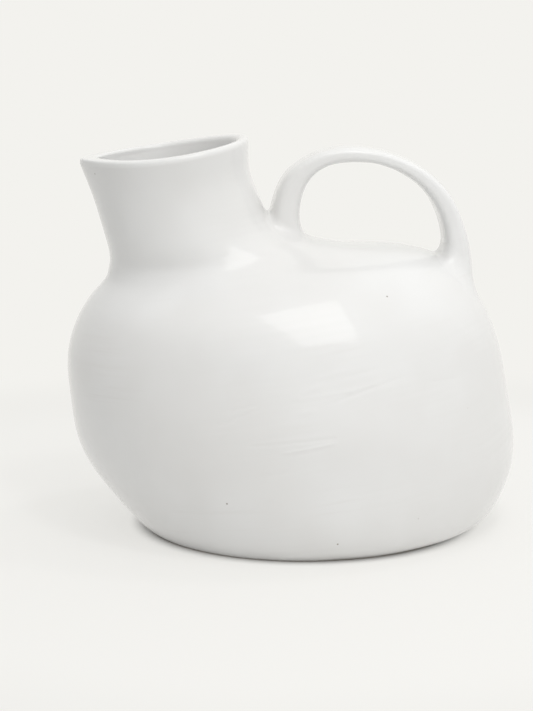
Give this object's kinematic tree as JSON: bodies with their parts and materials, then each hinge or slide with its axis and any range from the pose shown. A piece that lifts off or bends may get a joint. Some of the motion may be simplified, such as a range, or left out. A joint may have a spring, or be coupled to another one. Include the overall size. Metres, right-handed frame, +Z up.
{
  "type": "botijo jug",
  "caption": "Squat glazed ceramic water jug with a lopsided body, a wide leaning neck with a pulled pouring lip, and an arched strap handle over the shoulder.",
  "frame": {"origin": "middle of the object's footprint box, on the floor under the foot", "axes": "+X from the pouring lip towards the rear of the handle, +Z up, +Y across the body"},
  "size_m": [0.2417, 0.193, 0.2094],
  "materials": {
    "glaze": "glossy white glaze, bare clay on the resting ring"
  },
  "bodies": {
    "root": {"lower_body": "glaze", "upper_body": "glaze", "neck": "glaze", "handle": "glaze", "handle_front_root": "glaze", "handle_rear_root": "glaze"}
  },
  "joints": []
}
